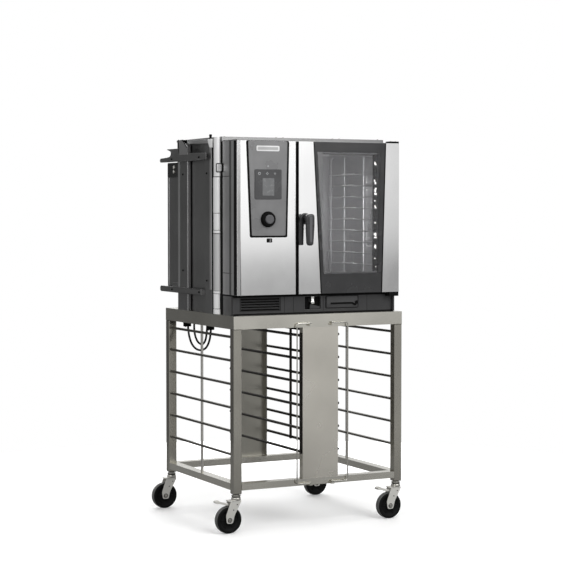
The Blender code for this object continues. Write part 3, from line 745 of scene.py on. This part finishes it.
def door_details():
    """Glass print, edge trims, reveal lining with its lamp strip and painted glints, and the lever handle
    with a painted highlight strip.
    """
    outer = [(433, 1082), (755, 1082), (775, 1784), (394.5, 1784)]
    inner = [(446, 1173), (736, 1173), (749, 1738), (412, 1738)]
    piece("glass_print_border", MASK, [(border, outer, inner, 1, 0.15, 0.45)], "door")
    piece("glass_edge_trims", BLACK_AND_SHADE, [
        (prism, [(429.5, 1082.5), (435, 1082.5), (396.4, 1783.5), (390.6, 1783.5)], 1, -0.9, 0.1),
        (prism, [(753, 1082.5), (759, 1082.5), (779, 1783.5), (773, 1783.5)], 1, -0.9, 0.1),
    ], "door", bevel=0.3)
    piece("glass_edge_rails", TRIM_STEEL, [
        (box, (441, 739), (9, 15), (1174, 1181)),
        (box, (441, 739), (9, 15), (1730, 1737)),
    ], "door", bevel=0.6)
    piece("lamp_housing", MASK, [
        (box, (737.4, 739.8), (8.5, 57.6), (1174, 1737)),
        (prism, [(734, 1174), (747, 1174), (756, 1738), (734, 1738)], 1, 5.2, 7.6),
    ], "door")
    piece("window_left_reveal", REVEAL_GREY, [
        (prism, [(404, 1738), (441, 1738), (441, 1174), (438, 1174)], 1, 5.4, 7.6),
    ], "door")
    # Scattered glowing patches on the door's right reveal: they stand for its lamp strip and paint the
    # glints seen on the reveal.
    lamps = bmesh.new()
    for y, z, wide, high in ((22, 1680, 14, 9), (30, 1684, 8, 14), (24, 1590, 12, 14), (34, 1602, 8, 12),
                             (18, 1540, 22, 12), (26, 1552, 12, 18), (20, 1566, 9, 9), (30, 1510, 9, 6),
                             (21, 1477, 14, 8), (30, 1483, 7, 10), (27, 1405, 9, 9), (18, 1336, 24, 8),
                             (22, 1344, 10, 20), (36, 1350, 7, 11), (24, 1286, 10, 22), (31, 1292, 8, 9),
                             (29, 1238, 8, 5), (22, 1200, 6, 4)):
        patch = [(y, z), (y + wide, z + 0.2 * high), (y + 0.8 * wide, z + high), (y - 2, z + 0.7 * high)]
        prism(lamps, patch, 0, 736.2, 737.6)
    put("lamp_glow_and_painted_glints", lamps, LAMP_AND_GLINTS, "door")
    hub = [(317, 1408), (366, 1400), (368, 1446), (350, 1456), (328, 1455), (316, 1440)]
    tail = [(318.5, 1425), (335.5, 1425), (334, 1308), (321, 1308)]
    piece("handle_back_plate", HANDLE_BLACK, [
        (prism, softened(hub, 15, 8), 1, -15, -0.35),
        (prism, softened(tail, 7, 6), 1, -12, -0.35),
    ], "door", bevel=4.0, segments=4, smooth=True, angle=30, node="handle_plate")
    lever = bmesh.new()
    front = softened([(324, 1450), (367, 1453), (367, 1395), (361, 1306), (330, 1306), (325, 1375)], 19, 10)
    prism(lever, front, 1, -62, -40)
    rod(lever, (HANDLE[0], -44, HANDLE[2]), (HANDLE[0], -14.6, HANDLE[2]), 16.5, 40)
    put("handle_grip", lever, HANDLE_BLACK, "handle", bevel=8.5, segments=7, smooth=True, angle=30,
        node="handle_lever")
    # A grey strip down the middle of the black lever's face: painted highlight.
    piece("handle_grip_painted_highlight", CAP_GREY_AND_HIGHLIGHT, [
        (prism, softened([(338, 1440), (353, 1440), (350, 1322), (341, 1322)], 6, 6), 1, -63.2, -61),
    ], "handle", bevel=1.0, segments=3, smooth=True, angle=30)
    piece("handle_collar", BLACK, [
        (turned, [(16.6, -18.5), (20, -18.5), (20, -14.8), (16.6, -14.8)], 1, HANDLE, 40),
    ], "door", bevel=0.4, smooth=True)
    screws("hinge_screws", [(812, 14, 1793), (838, 14, 1793)], 2, 3.2, ZINC, side=1)


# ---- cavity
def cavity_details():
    """Smooth hanging racks with hooks in a brighter wire that paints glints, painted shade for the slots in
    the guide plate, floor drain, fan nut and light.
    """
    for side, x, inward in (("left", 462.0, 1), ("right", 804.0, -1)):
        bm = bmesh.new()
        for y in (130, 261, 452, 590):
            rod(bm, (x, y, 1122), (x, y, 1728), 4.0, 12)
        for n in range(10):
            z = 1150 + 54.6 * n
            rod(bm, (x, 108, z), (x, 612, z), 3.5, 12)
        for y in (130, 590):
            rod(bm, (x, y, 1722), (x - inward * 12, y, 1728), 4.0, 12)
        put(f"rack_wires_{side}", bm, RACK_WIRE, smooth=True, node=f"hanging_rack_{side}")
        # Short hooks in the brighter wire where the racks show glints: a lighter copy of the rack wire,
        # painted highlight.
        hooks = bmesh.new()
        for n in range(10):
            for y in (338, 452):
                z = 1153 + 54.6 * n
                rod(hooks, (x + inward * 2, y, z), (x + inward * 11, y, z + 2), 3.4, 12)
            rod(hooks, (x + inward * 11, 336, z + 2), (x + inward * 11, 454, z + 2), 2.6, 12)
        for z in (1506, 1566, 1603, 1622):
            rod(hooks, (x + inward * 2, 225, z), (x + inward * 8, 225, z + 2), 3.6, 12)
        put(f"rack_hook_glints_{side}", hooks, BRIGHT_WIRE, smooth=True)
    piece("rack_front_strip", FLAT_STEEL, [(box, (813, 815), (150, 286), (1124, 1730))], bevel=0.5)
    # Near-black sheets on the guide plate where its slots are: painted shade in the openings.
    slots = bmesh.new()
    for y in (112, 588):
        for n in range(9):
            z = 1160 + 62 * n
            prism(slots, rounded((y, z), (y + 22, z + 34), 10), 0, 447.0, 447.3)
    put("guide_plate_slot_shade", slots, BLACK_AND_SHADE)
    piece("floor_drain", LINER_STEEL, [
        (turned, [(0, 1105.1), (34, 1105.1), (34, 1107), (29, 1108), (0, 1107.4)], 2, (640, 350, 0), 40),
    ], smooth=True)
    piece("fan_nut", ZINC, [
        (turned, [(0, 398.1), (11, 398.1), (11, 406), (0, 407)], 0, (0, 355, 1415), 6),
    ], "fan")
    plate_screws = [(448, y, z) for y in (102, 622) for z in (1126, 1428, 1730)]
    screws("guide_plate_screws", plate_screws, 0, 5.0, ZINC, side=1)
    light = area_light("cavity_light", 3.5, 0.45)
    light.location = at(640, 74, 1430)
    light.rotation_euler = (math.radians(90), 0, 0)


# ---- casing
def channel(bm, x, y, z, lip):
    """An upright folded sheet channel: its face at low x, with its edges turned back."""
    (face, back), (near, far) = x, y
    fold, inside = face + 3, face + 2.4
    prism(bm, [(back, near), (fold, near), (face, near + 3), (face, far - 3), (fold, far), (back, far),
               (back, far - lip), (inside, far - lip), (inside, near + lip), (back, near + lip)], 2, *z)


def bowed(bm, x, y, z, turns=10):
    """An upright shell with a half-round face that bows out to the low x side."""
    (face, back), (near, far) = x, y
    angles = [math.pi * n / turns for n in range(turns + 1)]
    prism(bm, [(back - (back - face) * math.sin(a), (near + far) / 2 - (far - near) / 2 * math.cos(a))
               for a in angles], 2, *z)


def guard_details():
    """The side guard: bright bowed front upright in sections with its lower stretch darkened as painted
    shade, dark rear upright and two lipped rails, darkened as painted shade.
    """
    sections = [((170, 222), (1623.5, 1806)), ((173, 228), (1455.5, 1620.5)), ((173, 225), (1377, 1453.5)),
                ((172, 228), (1362, 1375)), ((172, 228), (1084, 1095)), ((176, 225), (1014, 1082)),
                ((172, 228), (988.6, 1012))]
    piece("guard_front_upright", GUARD_STEEL, [(bowed, (-22, -3.0), y, z) for y, z in sections],
          bevel=1.0, smooth=True, angle=35, node="side_guard")
    # The upright's lower stretch is drawn in the darker copy of the guard steel: painted shade.
    piece("guard_front_shaft", SHADED_GUARD_STEEL, [
        (bowed, (-22, -3.0), (173, 228), (1097, 1359)),
    ], smooth=True, angle=35)
    # A near-black core inside the upright and beside it, seen only through the gaps between the sections
    # and next to the strip: painted shade.
    piece("guard_front_painted_shade", BLACK_AND_SHADE, [
        (bowed, (-20, -3.2), (178, 219), (988.8, 1803)),
        (box, (-17.4, -5.6), (220, 232), (988.8, 1780)),
    ])
    # The guard's strip, rear upright, rails and stays are drawn in the dark steel copy: painted shade.
    piece("guard_strip", DARK_STEEL_AND_SHADE, [(channel, (-18, -5.4), (230, 314), (988.6, 1798), 1.6)], bevel=0.8)
    piece("guard_strip_web", MODULE_STEEL, [(box, (-21, -17.8), (232, 252), (1100, 1798))], bevel=1.0)
    piece("guard_rear_upright", DARK_STEEL_AND_SHADE, [
        (channel, (-22, -5.4), (502, 614), (988.6, 1804), 1.6),
        (prism, [(252, 1774), (560, 1783), (560, 1805.5), (252, 1794)], 0, -21, -9),
    ], bevel=0.8)
    piece("guard_top_rail_face", MODULE_STEEL, [
        (prism, [(262, 1779), (548, 1786), (548, 1804), (262, 1794)], 0, -22, -20.8),
    ], bevel=0.4)
    piece("guard_rear_ridge", MODULE_STEEL, [(box, (-23, -20), (594, 613), (1100, 1700))])
    # A near-black strip on the left side panel behind the guard's rear upright: painted shadow between the
    # upright and the panel.
    piece("side_panel_painted_shadow", BLACK_AND_SHADE, [(box, (-0.7, -0.2), (516, 556), (1078, 1770))])
    rails = bmesh.new()
    upper = [(250, 1704), (784, 1702), (793, 1705), (797, 1711), (794, 1718), (784, 1721.5), (712, 1724),
             (678, 1727), (664, 1735), (661, 1745), (668, 1753), (690, 1758), (706, 1761), (706, 1764),
             (540, 1764), (500, 1740), (250, 1733)]
    lower = [(310, 1071), (786, 1071), (797, 1077), (797, 1092), (786, 1098), (310, 1098)]
    prism(rails, upper, 0, -40, -37.5)
    box(rails, (-40, -22.2), (560, 704), (1761.5, 1764))
    box(rails, (-40, -22.2), (310, 790), (1702, 1704.5))
    prism(rails, lower, 0, -40, -37.5)
    box(rails, (-40, -22.2), (310, 790), (1095.5, 1098))
    box(rails, (-40, -22.2), (310, 790), (1071, 1073.5))
    put("guard_rails", rails, DARK_STEEL_AND_SHADE, bevel=0.7)
    stays = bmesh.new()
    for y in (510, 592):
        box(stays, (-37.5, -21.8), (y, y + 14), (1704.5, 1761.5))
        box(stays, (-37.5, -21.8), (y, y + 14), (1073.5, 1095.5))
    box(stays, (-37.5, -17.8), (310.5, 316), (1704.5, 1733))
    box(stays, (-37.5, -17.8), (310.5, 316), (1073.5, 1095.5))
    box(stays, (-16, -5.4), (608, 700), (1076, 1116))
    put("guard_stays", stays, DARK_STEEL_AND_SHADE, bevel=0.8)
    piece("guard_gusset", FLAT_STEEL, [
        (prism, [(458, 1732), (556, 1732), (566, 1804), (520, 1804), (458, 1768)], 0, -41.5, -40),
        (prism, [(560, 1764), (566, 1764), (572, 1805.5), (562, 1805.5)], 0, -40, -22),
    ])
    # Thin near-black strips along the gusset's diagonal edge and its bend: painted shade.
    piece("guard_gusset_painted_shade", BLACK_AND_SHADE, [
        (prism, [(458, 1764), (466, 1764), (524, 1804), (512, 1804)], 0, -42, -41.4),
        (prism, [(556, 1741), (561, 1741), (571, 1804), (562, 1804)], 0, -42, -41.4),
    ])
    head = softened([(222, 1757), (244, 1757), (262, 1786), (262, 1797), (222, 1797)], 5)
    piece("guard_head_bracket", GUARD_STEEL, [(prism, head, 0, -25, -17)], bevel=1.5, segments=3)
    piece("guard_peg", BLACK_AND_SHADE, [
        (rod, (-18, 246, 1790), (-18, 246, 1816), 6.0, 20),
        (turned, [(0, 1811), (6.4, 1811), (7.0, 1815), (5.4, 1819), (0, 1820)], 2, (-18, 246, 0), 24),
    ], smooth=True)
    piece("guard_clip", GUARD_STEEL, [
        (prism, rounded((-24, 1646), (-2, 1680), 5), 1, 158, 168),
    ], bevel=1.6, segments=3)
    piece("guard_clip_shade", BLACK_AND_SHADE, [
        (prism, rounded((140, 1642), (168, 1684), 8), 0, -2.2, -0.9),
        (prism, rounded((-27, 1642), (-2.2, 1684), 6), 1, 166, 169),
    ], bevel=0.6)
    bolts = [(-18, 290, z) for z in (1140, 1640)] + [(-22, 556, z) for z in (1180, 1640)]
    screws("guard_bolts", bolts, 0, 4.6, RUBBER)
    screws("guard_rail_bolts", [(-40, y, z) for y in (330, 650) for z in (1716, 1084.5)], 0, 5.2, RUBBER)


def casing_details():
    """Top vents, rear connections, screws and seams on the far sides."""
    outlets = [(250, 560, 0), (520, 600, 0)]
    collar = [(24, 1805.9), (34, 1805.9), (34, 1809), (27, 1811), (27, 1815), (30, 1817), (24, 1817)]
    # Near-black discs inside the steam outlets: painted shade in their throats.
    throat = [(0, 1806), (24, 1806), (24, 1810), (0, 1811)]
    piece("steam_outlets", OVEN_STEEL, [(turned, collar, 2, place, 48) for place in outlets], smooth=True)
    piece("outlet_throat_shade", BLACK_AND_SHADE, [(turned, throat, 2, place, 40) for place in outlets], smooth=True)
    piece("top_front_band", TRIM_STEEL, [
        (box, (-5.6, 850.4), (149.2, 150.2), (1788.4, 1805.6)),
        (box, (0.4, 299), (-0.5, 0.4), (1784.6, 1788)),
    ], bevel=0.3)
    seams = bmesh.new()
    for x in (300, 600):
        box(seams, (x, x + 1.5), (155, 664), (1805.8, 1806.3))
    box(seams, (849.8, 850.3), (150, 151.6), (1078, 1783))
    box(seams, (849.8, 850.3), (470, 471.6), (1078, 1794))
    put("casing_seams", seams, BLACK_AND_SHADE)
    side = [(850, y, z) for y in (172, 455, 490, 650) for z in (1094, 1440, 1776)]
    screws("right_side_screws", side, 0, 4.4, ZINC, side=1)
    top = [(x, y, 1806) for x in (20, 285, 320, 585, 620, 832) for y in (172, 650)]
    screws("top_screws", top, 2, 4.4, ZINC, side=1)
    back = [(x, 781, z) for x in (26, 425, 824) for z in (1116, 1395, 1674)]
    screws("rear_screws", back, 1, 4.6, ZINC, side=1)
    piece("rear_louvres", DARK_STEEL_AND_SHADE, [
        (turned_box, (x, x + 230), (-5, 5), (-0.8, 0.8), (0, 781, 1440 + 17 * n), 35, "X")
        for x in (80, 520) for n in range(12)
    ], bevel=0.4)
    holes = [(prism, rounded((x - 2, 1428), (x + 232, 1640), 6), 1, 780.6, 781.3) for x in (80, 520)]
    piece("rear_louvre_shadow", BLACK_AND_SHADE, holes)
    water = [(9, 780.8), (19, 780.8), (19, 786), (14, 788), (14, 795), (12, 797), (9, 797)]
    waste = [(20, 780.8), (30, 780.8), (30, 786), (25, 788), (25, 797), (20, 797)]
    piece("water_and_drain_ports", ZINC, [
        (turned, water, 1, (120, 0, 1160), 32),
        (turned, water, 1, (200, 0, 1160), 32),
        (turned, waste, 1, (600, 0, 1160), 40),
    ], smooth=True)
    piece("rear_bracket", BLACK, [
        (prism, softened([(652, 1632), (781, 1628), (781, 1700), (652, 1700)], 8), 0, -6, -0.2),
    ], bevel=1.5, segments=3)
    screws("rear_bracket_bolts", [(-6, 698, 1676), (-6, 698, 1655)], 0, 8.0, STAY_STEEL)
    piece("rear_cable_duct", DARK_STEEL_AND_SHADE, [(channel, (1, 40), (781, 799), (1090, 1690), 2)], bevel=0.8)


# ---- floor and light
FLOOR_RADIUS = 2.6


def studio():
    """Pale floor, white background, a soft surround with darker flags, and large soft lights."""
    floor = bmesh.new()
    bmesh.ops.create_circle(floor, cap_ends=True, segments=128, radius=FLOOR_RADIUS)
    mesh = bpy.data.meshes.new("floor")
    floor.to_mesh(mesh)
    floor.free()
    stage = new_object("floor", mesh)
    mesh.materials.append(floor_paint())
    surround()
    for name, place, target, size, watts in (
            ("key", (1500, -3600, 3300), (425, 300, 1100), 2.4, 95),
            ("fill", (-3400, -2600, 2600), (300, 300, 1000), 2.2, 45),
            ("top", (425, 300, 4200), (425, 300, 1000), 3.0, 30),
            ("back", (900, 5200, 4200), (600, 2600, 0), 4.0, 100)):
        light = area_light(name, watts, size)
        light.location = at(*place)
        light.rotation_mode = "QUATERNION"
        light.rotation_quaternion = (at(*target) - at(*place)).to_track_quat("-Z", "Y")
    bpy.context.scene.view_settings.view_transform = "Standard"


def floor_paint():
    """White paint that brightens into the background at its rim and reflects as mid grey."""
    look = Look("floor_paint")
    cloud = look.noise(3, detail=3)
    look.colours(cloud, grey(0.88), grey(0.92))
    look.rough(cloud, 0.55, 0.65)
    coords = look.node("TexCoord")
    length = look.node("VectorMath")
    length.operation = "LENGTH"
    look.link(coords.outputs["Object"], length.inputs[0])
    rim = look.scaled(length.outputs["Value"], 0.12, 1.0, 0.9, FLOOR_RADIUS - 0.2)
    look.link(rim, look.shader.inputs["Emission Strength"])
    look.sets(Emission_Color=(1, 1, 1, 1))
    dull = look.node("BsdfDiffuse", Color=(*grey(0.24), 1))
    rays = look.node("LightPath")
    mixed = look.node("MixShader")
    look.link(rays.outputs["Is Camera Ray"], mixed.inputs[0])
    look.link(dull.outputs["BSDF"], mixed.inputs[1])
    look.link(look.shader.outputs["BSDF"], mixed.inputs[2])
    look.link(mixed.outputs["Shader"], look.tree.nodes["Material Output"].inputs["Surface"])
    return look.material


def surround():
    """White to the camera; to all other rays, soft levels with a dark flag behind on the left.

    The levels are set so that the bands on the steel fall as they do in the photograph.
    """
    world = bpy.data.worlds.new("studio")
    bpy.context.scene.world = world
    world.use_nodes = True
    tree = world.node_tree
    coords = tree.nodes.new("ShaderNodeTexCoord")

    def lobe(direction, start, stop):
        """0 to 1 as a ray's part along a direction goes from start to stop."""
        dot = tree.nodes.new("ShaderNodeVectorMath")
        dot.operation = "DOT_PRODUCT"
        dot.inputs[1].default_value = direction
        tree.links.new(coords.outputs["Generated"], dot.inputs[0])
        ranger = tree.nodes.new("ShaderNodeMapRange")
        ranger.interpolation_type = "SMOOTHSTEP"
        ranger.inputs["From Min"].default_value = start
        ranger.inputs["From Max"].default_value = stop
        tree.links.new(dot.outputs["Value"], ranger.inputs["Value"])
        return ranger.outputs["Result"]

    def mix(factor, first, second):
        """Level that goes from the first to the second value with a factor."""
        node = tree.nodes.new("ShaderNodeMix")
        for socket, value in ((0, factor), (2, first), (3, second)):
            if isinstance(value, (int, float)):
                node.inputs[socket].default_value = value
            else:
                tree.links.new(value, node.inputs[socket])
        return node.outputs[0]

    ahead, up, down = (0.0, -1.0, 0.0), (0.0, 0.0, 1.0), (0.0, 0.0, -1.0)
    right, behind_left = (0.891, 0.454, 0.0), (-0.454, 0.891, 0.0)
    bright = mix(lobe(right, -0.26, -0.10), 0.58, 1.2)
    front = mix(lobe(right, -0.005, 0.085), bright, 0.68)
    dim = mix(lobe(right, -0.02, 0.03), 0.33, 0.22)
    front = mix(lobe(down, 0.016, 0.037), front, dim)
    front = mix(lobe(down, 0.052, 0.062), front, 0.52)
    around = mix(lobe(up, -0.10, 0.35), 0.66, 0.82)
    level = mix(lobe(ahead, 0.0, 0.45), around, front)
    level = mix(lobe(behind_left, 0.82, 0.95), level, 0.13)
    rays = tree.nodes.new("ShaderNodeLightPath")
    level = mix(rays.outputs["Is Camera Ray"], level, 1.0)
    tree.links.new(level, tree.nodes["Background"].inputs["Color"])
    tree.nodes["Background"].inputs["Strength"].default_value = 1.0


add_camera()
supply_lead()
dress()
stand_details()
castors()
base_details()
column_details()
door_details()
cavity_details()
guard_details()
casing_details()
studio()
